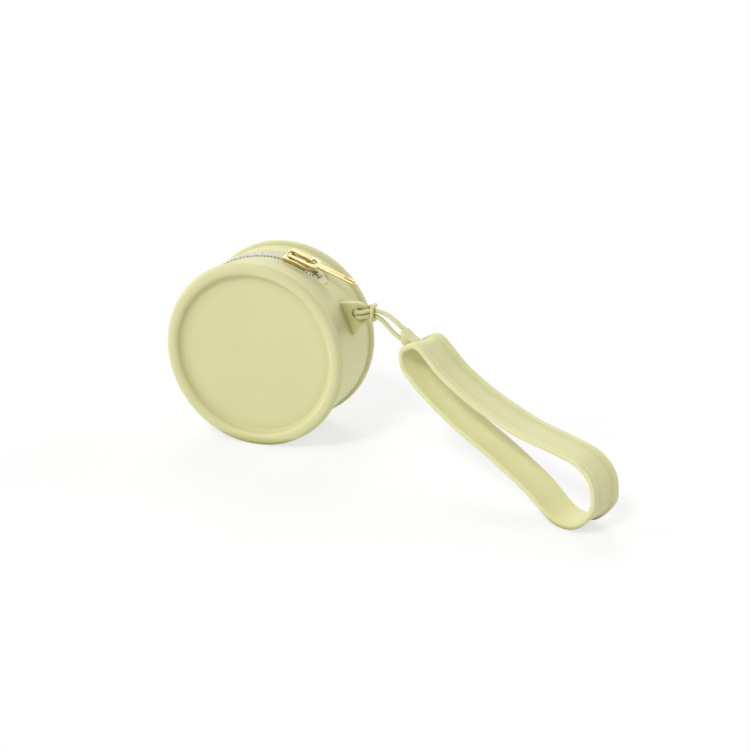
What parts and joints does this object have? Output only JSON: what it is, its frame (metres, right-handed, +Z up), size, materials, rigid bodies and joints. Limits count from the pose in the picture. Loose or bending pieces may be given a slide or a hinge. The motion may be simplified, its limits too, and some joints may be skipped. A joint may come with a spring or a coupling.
{
  "type": "coin_pouch",
  "caption": "Drum-shaped silicone coin pouch with a zip over its top, a side lug, and a wrist band tied to the lug by a cord",
  "frame": {"origin": "centre of the drum's back face, on the drum's axis", "axes": "+X towards the lug and the wrist band, +Y along the drum's axis from front to back, +Z up, with the pouch standing on its two rims"},
  "size_m": [0.192, 0.077, 0.0775],
  "materials": {
    "silicone": "matte",
    "tape": "woven",
    "nylon": "satin",
    "gold": "polished"
  },
  "bodies": {
    "pouch": {"pouch_body": "silicone", "front_zip_tape": "tape", "back_zip_tape": "tape", "front_coil": "nylon", "back_coil": "nylon", "front_core_cord": "nylon", "back_core_cord": "nylon", "top_stops": "nylon", "bottom_stop": "gold"},
    "slider": {"zip_slider": "gold"},
    "pull": {"pull_tab": "gold"},
    "strap": {"wrist_band": "silicone", "strap_cord": "silicone"}
  },
  "joints": [
    {"name": "slider_travel", "type": "hinge", "parent": "pouch", "child": "slider", "pos_m": [0, -0.0169, 0], "axis": [0, 1, 0], "range_deg": [-89, 0], "deforming": ["front_coil", "back_coil", "front_core_cord", "back_core_cord"]},
    {"name": "pull_swing", "type": "hinge", "parent": "slider", "child": "pull", "pos_m": [0.01022, -0.0169, 0.03831], "axis": [0, 1, 0], "range_deg": [-160, 3.5]},
    {"name": "strap_swing", "type": "hinge", "parent": "pouch", "child": "strap", "pos_m": [0.03773, -0.0169, 0.01656], "axis": [0, -1, 0], "range_deg": [-50, 75]}
  ]
}
